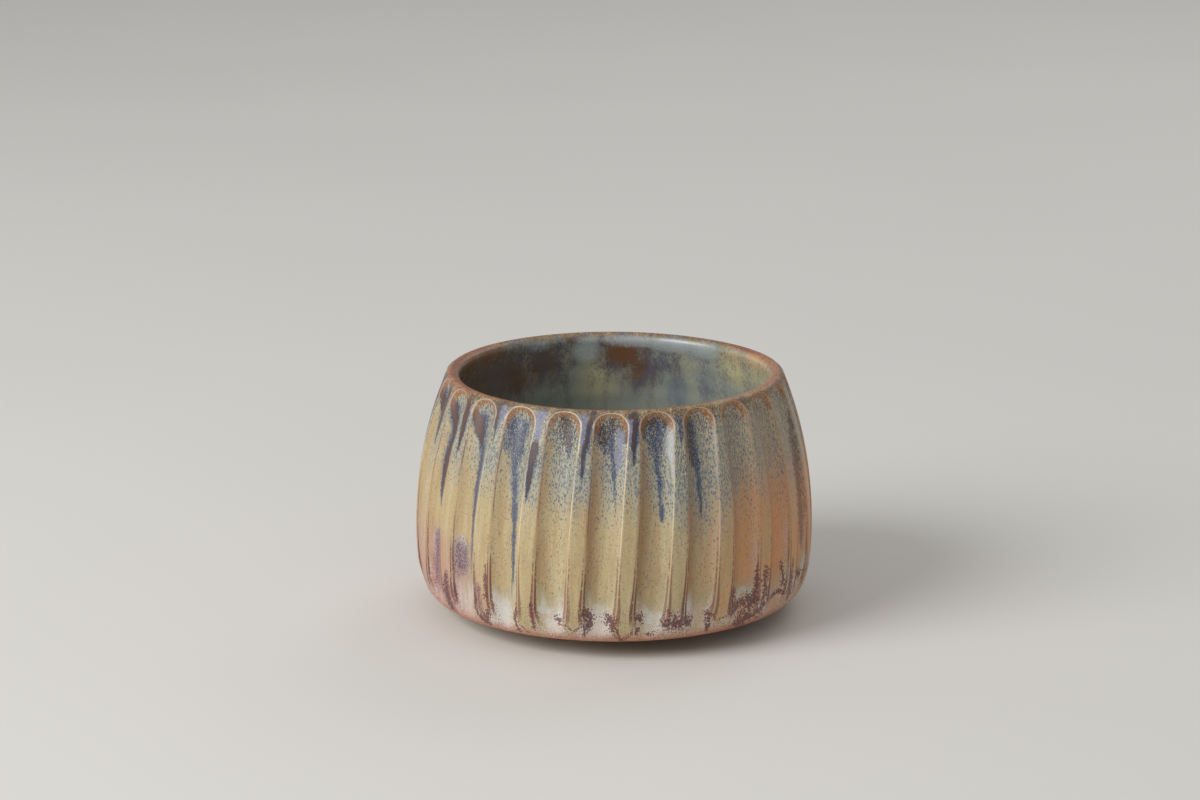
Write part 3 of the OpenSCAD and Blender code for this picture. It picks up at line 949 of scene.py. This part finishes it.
class FlutedGlaze:
    """The glaze over the flutes: what it reads at each point, and its colour, built up in layers."""

    def __init__(self, wire):
        self.wire = wire
        for name in GLAZE_FIELDS:
            setattr(self, name, wire.attribute(name))
        flow = wire.attribute("flow", "Vector")
        self.side, self.front, _ = flow.parts()
        for name, (share, *sizes) in GLAZE_NOISE.items():
            setattr(self, name, flow.drawn(share).noise(*sizes))
        for name, (share, scale) in GLAZE_DOTS.items():
            setattr(self, name, flow.drawn(share).dots(scale))
        self.in_flute = self.edge.fall(-0.9, 0.1)
        self.left_wall = self.across.fall(-3.7, 0.5) * self.in_flute
        self.left_edge = self.across.fall(-1.0, 1.0)
        self.arch = self.down.fall(3.4, 6.6)
        self.flank = abs(self.side).step(0.6 * BELLY, 0.93 * BELLY)
        self.lower = self.down.step(26.0, 40.0)
        self.fade = self.down.fall(43.5, 47.0)

    def look(self):
        """Colour, roughness and relief."""
        body = self.ochre()
        for layer in (
            self.speckled, self.blue_runs, self.dark_runs, self.milky_runs, self.footed, self.stained,
            self.edged, self.crusted, self.lipped,
        ):
            body = layer(body)
        gloss = self.dark.most(self.run * 0.5).most(self.haze * 0.6)
        rough = 0.43 + self.dust.sway(0.1) + gloss * 0.04 + self.bare * 0.06
        relief = self.dust * 0.3 + self.grain * 0.35 + self.dark * 0.4 + self.run * 0.25
        return body, rough, relief + self.chalk_and_highlight * 0.3 + self.crust * 0.4

    def ochre(self):
        """The ochre ground, drawn out in streaks, with painted shade in tan on the left wall of each flute,
        and warm on the right from a warmer glaze with painted orange bounce light.
        """
        down, thread = self.down, self.thread
        body = self.wire.pick(OCHRE, STRAW, 0.15 + self.drag.step(0.36, 0.66) * 0.6)
        body = body.tint(TAN, self.cloud.step(0.5, 0.72) * 0.3)
        body = body.tint(OLIVE, self.mottle.step(0.5, 0.7) * down.step(4.0, 26.0, 0.6, 0.25))
        body = body.tint(TAN, thread.step(0.52, 0.72) * 0.25 + self.grain.step(0.5, 0.66) * 0.3)
        body = body.tint(CREAM, self.dust.step(0.54, 0.64) * 0.2)
        # painted shade: tan on the left wall of each flute, the wall turned away from the lamp
        shaded = self.left_wall * down.step(4.0, 12.0)
        body = body.tint(TAN, shaded * self.side.step(-22.0, 2.0, 0.25, 0.95))
        # warm right side: a warmer glaze with painted orange bounce light over it
        warm = self.smoky * down.step(6.0, 24.0, 0.45, 1.0)
        streaks = 0.55 + self.in_flute * 0.2 + self.drag.sway(1.5) + thread.sway(1.5)
        body = body.tint(WARM_BROWN_AND_BOUNCE, warm * streaks)
        right_wall = self.across.step(0.4, 3.4) * self.in_flute
        lilac = right_wall * down.step(18.0, 34.0) * (0.15 + self.smoky * 0.65)
        return body.tint(PINK_WHITE, lilac * (self.crumb * 0.6 + thread * 0.6).step(0.45, 0.75))

    def speckled(self, body):
        """A mist of blue grey with fine flecks, thickest under the lip, thin on the left walls."""
        down, side, smoky = self.down, self.side, self.smoky
        plain = self.left_wall * side.fall(10.0, 26.0) * down.step(4.0, 8.0)
        streaks = 0.05 + self.drag * 0.9 + self.thread * 0.5 + self.cloud * 0.5
        density = self.speckle * streaks * (1.0 - plain * 0.85)
        mist = (density + self.drag.sway(0.5)).step(0.0, 0.85) * (0.6 - smoky * 0.15)
        body = body.tint(BLUE_HAZE, mist)
        fleck = (0.1 + density * 0.54 + self.grain.sway(1.3) - self.flecks).step(-0.13, 0.11)
        inky = self.crumb.step(0.42, 0.62) * down.step(6.0, 16.0, 0.9, 0.25) * (1.0 - smoky * 0.5)
        tone = self.wire.pick(BLUE_GREY, INK, inky)
        body = body.tint(tone, fleck * (0.85 - smoky * 0.25) * down.step(16.0, 34.0, 1.0, 0.6))
        light = (self.dust - (0.63 - density * 0.12)).step(-0.03, 0.06) * density.least(1.0)
        body = body.tint(STRAW, light * down.step(10.0, 24.0, 0.85, 0.4))
        top = down.fall(3.4, 7.0) * down.step(1.6, 2.4) * side.step(-12.0, 6.0, 0.35, 0.8)
        body = body.tint(INK, self.grain.step(0.48, 0.57) * top * 0.8)
        return body.tint(CREAM, self.dust.step(0.58, 0.63) * top * 0.6)

    def blue_runs(self, body):
        """Blue that ran down the flutes, dark and grainy in the middle, dotted with straw."""
        blue, grain = self.blue, self.grain
        self.run = (blue * 1.1 + self.drag.sway(0.9) + grain.sway(1.9)).step(-0.05, 0.75)
        strength = blue * self.down.step(8.0, 18.0, 1.0, 0.7)
        depth = (strength + grain.sway(2.0) + self.crumb.sway(0.8)).step(0.05, 0.75)
        body = body.tint(self.wire.pick(BLUE_GREY, DEEP_BLUE, depth), self.run * 0.9)
        dots = self.dust.step(0.57, 0.63) * self.run
        return body.tint(STRAW, dots * self.down.step(9.0, 16.0, 0.7, 0.2))

    def dark_runs(self, body):
        """Dark runs from the lip: brown in the middle, inky at their sides and grainy in front."""
        wire, crumb, grain = self.wire, self.crumb, self.grain
        loose = self.in_flute * self.side.step(-29.0, -24.0)
        ragged = self.brown + crumb.sway(0.5) + grain.sway(0.9 + loose * 3.8) + self.drag.sway(0.3)
        ragged = ragged + loose * (0.54 - self.flecks) * 0.9
        self.dark = ragged.step(0.0, 0.34)
        fringe = (ragged.step(-0.7, 0.0) - self.dark).most(0.0)
        body = body.tint(DEEP_BLUE, fringe * 0.35)
        core = wire.pick(BROWN, UMBER, self.side.step(-32.0, -18.0))
        tone = wire.pick(INK, core, (ragged + crumb.sway(0.8)).step(0.1, 0.62))
        tone = tone.tint(DEEP_BLUE, grain.step(0.55, 0.63) * 0.6)
        tone = tone.tint(STRAW, loose * self.dust.step(0.55, 0.61) * 0.45)
        tone = tone.tint(DARK_OLIVE, self.smoky * 0.8)
        return body.tint(tone, self.dark * (0.92 - self.smoky * 0.3))

    def milky_runs(self, body):
        """Lavender and chalk-white patches, mottled and specked with blue; the white streaks high on some
        right walls are partly a painted highlight.
        """
        wire, crumb, grain, lower = self.wire, self.crumb, self.grain, self.lower
        self.haze = (self.pale + crumb.sway(1.4) + grain.sway(1.6)).step(-0.05, 0.5)
        milky = wire.pick(LAVENDER, MILKY_BLUE, (crumb * 0.6 + grain * 0.4).step(0.42, 0.64))
        milky = milky.tint(MAUVE, self.thread.step(0.5, 0.68) * 0.4)
        milky = milky.tint(DEEP_BLUE, grain.step(0.54, 0.64) * 0.6)
        body = body.tint(milky, self.haze * 0.82)
        # chalk-white glaze, and high on some right walls partly a painted highlight
        self.chalk_and_highlight = (self.white + crumb.sway(1.2) + grain.sway(2.0 + lower * 1.4)).step(-0.05, 0.75)
        tone = wire.pick(CHALK, PINK_WHITE, lower * self.side.fall(-22.0, -10.0))
        tone = tone.tint(MILKY_BLUE, (1.0 - lower) * (crumb * 0.6 + grain * 0.5).step(0.45, 0.68) * 0.7)
        tone = tone.tint(BLUE_HAZE, self.dust.step(0.52, 0.6) * 0.5)
        far_left = lower * self.side.fall(-30.0, -22.0)
        return body.tint(tone, self.chalk_and_highlight * (0.78 - far_left * 0.08))

    def footed(self, body):
        """The foot of each flute and land, where the ochre ends in a tongue above paler glaze, down to a
        pink base edge that is partly painted orange bounce light.
        """
        down, crumb, mottle = self.down, self.crumb, self.mottle
        ragged_end = mottle.sway(4.0) + crumb.sway(2.4) + self.drag.sway(6.0)
        flute_tongue = down - 42.4 + (self.across * self.across).least(16.0) * 0.3 + ragged_end
        rounded = (self.ridge * self.ridge).least(16.0) * 0.5
        self.land_tongue = down - self.land_end + rounded + ragged_end * 0.3
        self.bare = flute_tongue.least(self.land_tongue + 20.0 * self.in_flute).step(-2.4, 3.0)
        foot = self.wire.pick(SHELL, PALE_SHELL, (self.cloud + crumb.sway(0.4)).step(0.4, 0.6))
        body = body.tint(OLIVE, flute_tongue.band(-2.0, 1.0, 1.5) * self.in_flute * 0.35)
        # salmon foot on the right side, partly painted orange bounce light
        body = body.tint(foot.tint(SALMON, self.smoky * 0.55), self.bare * 0.8)
        whiter = ((mottle + crumb * 0.4).step(0.66, 0.86) * 0.6).most(self.chalk_and_highlight * 0.75)
        body = body.tint(CHALK, self.bare * whiter)
        low_left = self.side.fall(-38.0, -20.0) * self.lower
        body = body.tint(ROSE, low_left * (crumb * 0.5 + self.thread * 0.6).step(0.42, 0.7, 0.35, 0.95))
        # base edge: its own pinkish tone with painted orange bounce light
        return body.tint(BASE_PINK_AND_BOUNCE, (down + mottle.sway(3.0)).step(46.4, 50.4) * 0.9)

    def stained(self, body):
        """Mauve patches low on the wall: a thin veil with darker spots in it, redder towards the base."""
        wire, crumb = self.wire, self.crumb
        veil = (self.mauve + crumb.sway(0.9) + self.mottle.sway(0.8)).step(-0.1, 1.0)
        redder = (self.down + crumb.sway(8.0)).step(38.0, 43.0)
        body = body.tint(wire.pick(MAUVE, STAIN, redder), veil * 0.55)
        stain = (0.16 + self.mauve * 0.46 + crumb.sway(0.6) - self.pips).step(-0.06, 0.1)
        tone = wire.pick(DARK_MAUVE, PLUM, self.dust.step(0.5, 0.62) * 0.6)
        return body.tint(tone.tint(STAIN, redder * 0.6), stain * 0.75)

    def edged(self, body):
        """Thin lines where the glaze breaks over the arrises, cream on the lit side partly a painted
        highlight, a painted shadow line inside each left arris, rust in the arches and plum lower down.
        """
        wire, edge, down, crumb, grain = self.wire, self.edge, self.down, self.crumb, self.grain
        shoulder = edge.band(-1.0, -0.2, 0.45) * self.arch
        body = body.tint(RUST, shoulder * (crumb * 0.5 + grain * 0.9).step(0.56, 0.8, 0.25, 1.0))
        # painted shadow: a thin umber line just inside the left arris of each flute
        shade = edge.band(-0.36, -0.2, 0.12) * self.left_edge * down.step(5.0, 10.0) * self.fade
        body = body.tint(UMBER, shade * self.thread.step(0.35, 0.65) * 0.5)
        wide = down.step(35.0, 46.0) * 0.6
        beside = edge.step(0.08, 0.2) * (edge - wide).fall(0.3, 0.65)
        inner = edge.fall(-0.2, -0.1) * (edge + wide * 0.5).step(-0.6, -0.35)
        grainy = crumb * 0.5 + grain * 0.45 + self.thread * 0.3 + self.lower * 0.14
        stripe = (beside + inner) * (0.75 + self.left_edge * 0.25) * grainy.step(0.59, 0.75)
        low = (down + self.smoky * 5.0).step(25.0, 34.0) * self.fade
        body = body.tint(wire.pick(BROWN, PLUM, edge.step(-0.1, 0.1)), stripe * low * 0.9)
        # glaze breaking over each arris; cream on the lit right arris against salmon on the shaded left one
        # is partly painted highlight and shade
        line = edge.band(-0.08, 0.08, 0.1 + self.lower * 0.06)
        tone = wire.pick(CREAM, SALMON, self.left_edge.most(self.smoky).most(self.lower))
        body = body.tint(tone, line * (0.1 + self.thread.step(0.3, 0.7) * 0.8) * self.fade)
        crown = edge.band(-0.06, 0.2, 0.14) * self.arch
        tone = wire.pick(MILK, PEACH, self.side.step(-12.0, 26.0))
        # salmon crowns at the sides; on the right side partly painted orange bounce light
        tone = tone.tint(SALMON, self.smoky.most(self.flank) * 0.7)
        return body.tint(tone, crown * (crumb + grain.sway(0.8)).step(0.36, 0.62, 0.3, 1.0))

    def crusted(self, body):
        """Plum crystals that gathered at the foot: slate drops among fine red dots, thick by the arrises."""
        crumb, edge, down, pips = self.crumb, self.edge, self.down, self.pips
        tip = self.land_tongue.band(-0.3, 0.4, 0.4)
        outline = tip * self.ridge.fall(2.2, 3.2) * edge.step(-0.3, 0.1)
        gather = self.plum.most(outline * 1.3 - 1.0) + crumb.sway(1.1)
        crust = (0.36 + gather * 0.5 - pips).step(-0.05, 0.08)
        tone = self.wire.pick(PLUM, MAUVE, crumb.step(0.5, 0.68) * 0.6)
        body = body.tint(tone, crust * 0.88)
        drops = (gather * 0.5 - 0.02 - self.drops).step(-0.03, 0.1) * self.smoky.step(0.2, 0.8, 1.0, 0.3)
        body = body.tint(SLATE, drops * 0.75)
        beside = edge.step(-2.6, -0.2) * down.step(38.0, 44.0)
        pepper = (0.06 + self.bare * 0.1 + beside * 0.17 + crumb.sway(0.2) - pips).step(-0.03, 0.05)
        self.crust = crust.most(drops)
        return body.tint(PLUM, pepper * down.step(36.0, 42.0) * 0.8)

    def lipped(self, body):
        """The lip: olive and ochre with dark flecks in front, rusty at the sides and speckled behind."""
        wire, down, crumb, cloud = self.wire, self.down, self.crumb, self.cloud
        behind = self.front.step(0.0, 0.5 * BELLY) * (1.0 - self.flank)
        lip = down.fall(1.6, 3.8) * self.edge.step(-0.1, 0.25)
        tone = wire.pick(LIP_OLIVE, OCHRE, (self.mottle + crumb * 0.4).step(0.62, 0.86))
        rusty = self.flank * crumb.step(0.35, 0.6, 0.6, 0.95)
        tone = tone.tint(LIP_PINK, rusty * down.step(0.2, 1.8, 1.0, 0.3))
        tone = tone.tint(LINER_BLUE, behind * (cloud + crumb * 0.4).step(0.62, 0.8) * 0.7)
        fleck = (self.grain + cloud.sway(0.4) + down.step(0.5, 1.6, -0.04, 0.09)).step(0.48, 0.57)
        tone = tone.tint(wire.pick(INK, DARK_PLUM, self.mottle.step(0.45, 0.6)), fleck * 0.74)
        tone = tone.tint(PEACH, self.dust.step(0.56, 0.62) * 0.6)
        body = body.tint(tone, lip * 0.85 * (1.0 - self.dark * 0.7) * (1.0 - self.haze * 0.8))
        thin = down.band(-0.8, 0.15, 0.3) * (crumb + cloud * 0.5).step(0.5, 0.9, 0.3, 0.95)
        # salmon lip line on the right side, partly painted orange bounce light
        tone = wire.pick(LIP_RUST, SALMON, self.smoky * 0.8)
        body = body.tint(tone, thin * (1.0 - behind * 0.7))
        pepper = (self.grain + crumb.sway(0.6)).step(0.5, 0.6) * down.fall(0.2, 1.4)
        return body.tint(wire.pick(UMBER, DARK_PLUM, cloud.step(0.45, 0.55)), pepper * 0.6)


def liner_look(wire):
    """Colour, roughness and relief of the glossy glaze inside."""
    flow = wire.attribute("flow", "Vector")
    depth = -wire.attribute("down")
    dark, rusty, pale, gold, slate = (wire.attribute(name) for name in LINER_PATCHES)
    drag, grain, cloud, mottle = (flow.drawn(share).noise(*sizes) for share, *sizes in LINER_NOISE)
    speck = grain.sway(depth.step(2.0, 16.0, 2.0, 0.5))
    soft = mottle.sway(0.8) + drag.sway(0.5)
    body = wire.pick(LINER_GREEN, LINER_YELLOW, (cloud + drag.sway(0.6)).step(0.45, 0.75) * 0.3)
    body = body.tint(LINER_YELLOW, (gold + soft * 0.6 + speck * 0.7).step(-0.05, 0.7) * 0.85)
    body = body.tint(PEACH, gold.step(0.1, 0.6) * depth.step(2.5, 6.0, 0.8, 0.0))
    veil = (drag + mottle.sway(0.8) + speck * 0.8).step(0.45, 0.72) * depth.step(5.0, 24.0, 0.6, 0.25)
    body = body.tint(LINER_BLUE, veil * (1.0 - gold.step(0.0, 0.6) * 0.8))
    body = body.tint(LINER_BLUE, (slate + soft * 1.2 + speck * 1.4).step(-0.1, 0.6) * 0.75)
    shade = (dark + soft * 1.3 + speck * 0.8).step(-0.1, 0.75)
    purple = (mottle + cloud.sway(0.6) + speck * 0.3 - rusty * 0.7).step(0.36, 0.54)
    body = body.tint(wire.pick(LINER_BROWN, LINER_PURPLE, purple), shade * 0.86)
    warm = (rusty + soft * 1.4 + speck * 0.8).step(0.0, 1.0) * rusty.step(0.0, 0.7)
    body = body.tint(LINER_UMBER, warm * 0.75)
    # pale blue-white patches, partly a painted highlight high on the back wall
    milk = (pale + speck * 1.6 + soft * 0.6).step(-0.05, 0.6) * pale.step(0.0, 0.25)
    body = body.tint(LINER_MILK_AND_HIGHLIGHT, milk * 0.7)
    return body, 0.2 + grain.sway(0.06), grain * 0.3 + mottle * 0.5


def new_material(name):
    material = bpy.data.materials.new(name)
    material.use_nodes = True
    material.node_tree.nodes.clear()
    return material, Wire(material.node_tree)


def surface(wire, body, rough, relief, finish):
    """Closes a material with its colour, roughness, relief and finish."""
    height, coat, coat_rough = finish
    bump = wire.node("ShaderNodeBump", None, {"Strength": 1.0, "Distance": height * MM, "Height": relief})
    skin = wire.node("ShaderNodeBsdfPrincipled", None, {
        "Base Color": body,
        "Roughness": rough,
        "Normal": bump,
        "IOR": 1.45,
        "Coat Weight": coat,
        "Coat Roughness": coat_rough,
    })
    wire.node("ShaderNodeOutputMaterial", None, {"Surface": skin})


def outer_glaze():
    material, wire = new_material("ochre_outer_glaze")
    surface(wire, *FlutedGlaze(wire).look(), OUTER_FINISH)
    return material


def rim_glaze():
    """The outer glaze over the lip, going over to the liner's where it turns in."""
    material, wire = new_material("rust_rim_glaze")
    body, rough, relief = FlutedGlaze(wire).look()
    liner, liner_rough, liner_relief = liner_look(wire)
    turned_in = wire.attribute("down").fall(-2.2, -0.7)
    body = body.tint(liner, turned_in)
    rough = rough + (liner_rough - rough) * turned_in
    relief = relief + (liner_relief - relief) * turned_in
    surface(wire, body, rough, relief, OUTER_FINISH)
    return material


def liner_glaze():
    material, wire = new_material("grey_green_liner_glaze")
    surface(wire, *liner_look(wire), LINER_FINISH)
    return material


def bare_clay():
    """Unglazed buff stoneware with iron specks and the rings left by trimming."""
    material, wire = new_material("bare_buff_clay")
    place = wire.node("ShaderNodeTexCoord", None, None, "Object")
    grit = place.noise(2600.0, 3.0, 0.65)
    patch = place.noise(90.0, 3.0, 0.5)
    spots = place.noise(900.0, 1.0, 0.4)
    x, y, _ = place.parts()
    radius = wire.math("SQRT", x * x + y * y)
    rings = wire.math("SINE", radius * 5200.0 + patch * 6.0)
    body = wire.pick(BUFF, BUFF_DARK, patch.step(0.35, 0.65))
    body = body.tint(BUFF_DARK, grit.step(0.5, 0.7) * 0.5)
    body = body.tint(IRON_SPECK, spots.step(0.68, 0.72) * 0.9)
    surface(wire, body, 0.82 + grit.sway(0.2), grit * 0.8 + rings * 0.15, CLAY_FINISH)
    return material


# Pieces

# Where rows change their spacing, as distances from the crest of the lip: below the arches on the
# face of a coat and on the clay, at the foot of the flutes, and inside where the flat floor starts
# and beside the axis
FACE_ARCHES = 8.2
BED_ARCHES = 9.0
FLUTE_FOOT = 38.0
FLOOR_EDGE = LINER_END - corner_c[0]
FLOOR_MIDDLE = LINER_END - 0.6
# Length of the rolled edge of the outer coat, and columns of the liner's mesh
ROLL = 0.9
LINER_COLUMNS = 320


def outer_coat_rows():
    """Rows of the outer coat: down its face, thinning to a rolled edge on the clay, and back up."""
    last = GLAZE_END - 1.2
    along = spaced(
        (RIM_OUT, FACE_ARCHES, 0.21), (FACE_ARCHES, FLUTE_FOOT, 0.56), (FLUTE_FOOT, last, 0.42),
        (last, GLAZE_END, 0.2),
    )
    roll = np.clip((along - GLAZE_END + ROLL) / ROLL, 0.0, 1.0)
    back = spaced((GLAZE_END, FLUTE_FOOT, 1.6), (FLUTE_FOOT, BED_ARCHES, 4.0), (BED_ARCHES, RIM_OUT, 0.9))
    rows = Rows()
    rows.add(outside, along, 0.9 * GLAZE * (1.0 - np.sqrt(1.0 - roll**2)))
    rows.add(outside, back, GLAZE)
    return rows


def rim_coat_rows():
    """Rows of the rim coat: up the inside of the lip, over its crest and down to the outer coat."""
    rows = Rows()
    rows.add(inside, spaced((RIM_IN, 1.6, 0.35), (1.6, 0.25, 0.2)), 0.0, -1.0)
    rows.add(outside, spaced((0.0, RIM_OUT, 0.125)), 0.0)
    rows.add(outside, spaced((RIM_OUT, 0.0, 0.6)), GLAZE)
    rows.add(inside, spaced((0.6, RIM_IN, 0.8)), GLAZE, -1.0)
    return rows


def clay_rows():
    """Rows of the clay: its floor and wall inside, over the lip, down the flutes, and the foot."""
    wall = spaced((0.0, BED_ARCHES, 0.45), (BED_ARCHES, FLUTE_FOOT, 1.6), (FLUTE_FOOT, BASE_END, 0.4))
    rows = Rows()
    rows.add(inside, spaced((FLOOR_MIDDLE, FLOOR_EDGE, 2.5), (FLOOR_EDGE, 1.0, 1.6)), GLAZE, -1.0)
    rows.add(outside, wall, GLAZE)
    under = FOOT_HEIGHT
    low = FOOT_BEVEL
    soft = 0.25
    flank = [
        (0.5, under), (0.12, under - 0.08), (0.0, under - 0.4), (0.0, low + soft),
        (-0.08, low - 0.12), (0.12 - low, 0.1), (-low - soft, 0.0),
    ]
    foot = [(0.5 * (edge_c[0] + FOOT_OUTER), under)]
    foot += [(FOOT_OUTER + out, height) for out, height in flank]
    foot += [(FOOT_INNER - out, height) for out, height in reversed(flank)]
    foot += [(radius, under) for radius in (14.0, 9.0, 4.0, 1.0)]
    rows.add_points(foot, BASE_END)
    return rows


def fluted_piece(name, blank, tree, material, poles, runs=None, density=None):
    """A carved piece with everything its glaze reads. Without poles its rows close on themselves."""
    piece = mesh_object(name, blank.points, not poles, poles)
    keep(piece, "flute", blank.flute)
    keep(piece, "inset", blank.inset * MM)
    if runs:
        for field in ("down", "edge", "across", "ridge"):
            keep(piece, field, getattr(blank, field))
        keep(piece, "smoky", warm_side_and_bounce_field(blank))
        keep(piece, "land_end", land_end_field(blank))
        keep(piece, "flow", blank.flow())
        keep(piece, "speckle", speckle_field(blank, density))
        for seed, (kind, paths) in enumerate(runs.items()):
            keep(piece, kind, run_field(blank, paths, 10 * seed))
    carve(piece, tree, material)
    return piece


def liner_coat():
    """The liner: floor and wall inside, and back down against the clay."""
    face = spaced((FLOOR_MIDDLE, FLOOR_EDGE, 1.4), (FLOOR_EDGE, 8.0, 0.7), (8.0, RIM_IN, 0.4))
    rows = Rows()
    rows.add(inside, face, 0.0, -1.0)
    rows.add(inside, spaced((RIM_IN, FLOOR_MIDDLE, 2.2)), GLAZE, -1.0)
    section, inset, down = rows.whole()
    turn = np.linspace(-math.pi, math.pi, LINER_COLUMNS, endpoint=False)
    depth = -down[:, None]
    rings = 0.05 * np.sin(depth * 1.5 + turn) * ease(depth, 5.0, 9.0) * (inset[:, None] < 0.1)
    radius = section[:, :1] - rings * ease(section[:, :1], 2.0, 12.0)

    def turned(reach, height):
        level = np.broadcast_to(height, radius.shape)
        return np.stack([reach * np.sin(turn), -reach * np.cos(turn), level])

    points = turned(radius, section[:, 1:])
    piece = mesh_object("liner_glaze_coat", points, False, [(0, FLOOR_Z), (1, FLOOR_Z - GLAZE)])
    keep(piece, "down", np.broadcast_to(-depth, radius.shape))
    keep(piece, "flow", turned(np.maximum(section[:, :1], 3.0), -depth))
    liner_fields(piece, turn[None, :], depth)
    piece.data.materials.append(liner_glaze())
    return piece


def build_cup():
    """The four pieces, dressed and in the place of their solids."""
    back_runs, density = round_the_back(24)
    density.update(SPECKLE)
    runs = {kind: FRONT_RUNS[kind] + back_runs[kind] for kind in FRONT_RUNS}
    tree = carving_tree()
    clay_poles = [(0, FLOOR_Z - GLAZE), (1, FOOT_HEIGHT)]
    clay_blank = Blank(clay_rows(), COARSE_ACROSS, 1)
    clay = fluted_piece("clay_body_and_foot", clay_blank, tree, bare_clay(), clay_poles)
    outer_blank = Blank(outer_coat_rows(), FINE_ACROSS, 3)
    outer = fluted_piece("outer_glaze_coat", outer_blank, tree, outer_glaze(), [], runs, density)
    rim_blank = Blank(rim_coat_rows(), FINE_ACROSS, 3)
    rim = fluted_piece("rim_glaze_coat", rim_blank, tree, rim_glaze(), [], runs, density)
    liner_fields(rim, rim_blank.turn, -rim_blank.down)
    liner = liner_coat()
    for piece, node, slot in (
        (clay, "clay_body", "bare_clay"),
        (outer, "outer_glaze", "outer_glaze"),
        (rim, "rim_glaze", "rim_glaze"),
        (liner, "liner_glaze", "liner_glaze"),
    ):
        settle(piece)
        finish_mesh(piece)
        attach(piece, "root")
        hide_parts(node)


def studio():
    """A pale floor, a large soft lamp to the left of the camera, a weak one behind, and a pale world."""
    half = 3.0
    mesh = bpy.data.meshes.new("studio_floor")
    corners = [(-half, -half, 0.0), (half, -half, 0.0), (half, half, 0.0), (-half, half, 0.0)]
    mesh.from_pydata(corners, [], [(0, 1, 2, 3)])
    floor = bpy.data.objects.new("studio_floor", mesh)
    bpy.context.scene.collection.objects.link(floor)
    material, wire = new_material("pale_floor")
    place = wire.node("ShaderNodeTexCoord", None, None, "Object")
    grey = place.noise(6.0, 2.0, 0.5).step(0.3, 0.7, 0.985, 1.0)
    body = wire.node("ShaderNodeVectorMath", {"operation": "SCALE"}, {0: FLOOR_PALE[:3], "Scale": grey})
    skin = wire.node("ShaderNodeBsdfPrincipled", None, {"Base Color": body, "Roughness": 0.7})
    wire.node("ShaderNodeOutputMaterial", None, {"Surface": skin})
    mesh.materials.append(material)

    world = bpy.data.worlds.new("studio_world")
    bpy.context.scene.world = world
    world.use_nodes = True
    sky = world.node_tree.nodes["Background"]
    sky.inputs["Color"].default_value = (1.0, 0.99, 0.97, 1.0)
    sky.inputs["Strength"].default_value = 0.4

    def lamp(name, place, size, power):
        light = bpy.data.lights.new(name, "AREA")
        light.shape = "DISK"
        light.size = size
        light.energy = power
        holder = bpy.data.objects.new(name, light)
        holder.location = place
        aim = Vector((0.0, 0.0, 0.03)) - holder.location
        holder.rotation_euler = aim.to_track_quat("-Z", "Y").to_euler()
        bpy.context.scene.collection.objects.link(holder)

    lamp("key_lamp", Vector((-0.86, -0.56, 0.68)), 0.8, 11.0)
    lamp("back_lamp", Vector((0.5, 0.8, 0.8)), 0.7, 1.5)


def camera():
    """The photograph's viewpoint, with its frame taken as 1200 by 800."""
    frame_width = 1200.0
    distance = 0.7
    elevation = math.radians(15.82)
    height = 0.02539
    lens = bpy.data.cameras.new("camera")
    lens.sensor_width = 36.0
    lens.lens = 99.12
    lens.shift_x = -14.31 / frame_width
    lens.shift_y = 88.4 / frame_width
    lens.clip_start = 0.01
    eye = bpy.data.objects.new("camera", lens)
    eye.location = (0.0, -distance * math.cos(elevation), height + distance * math.sin(elevation))
    eye.rotation_euler = (QUARTER - elevation, 0.0, 0.0)
    bpy.context.scene.collection.objects.link(eye)
    bpy.context.scene.camera = eye


bpy.context.scene.view_settings.view_transform = "Standard"
camera()
studio()
build_cup()
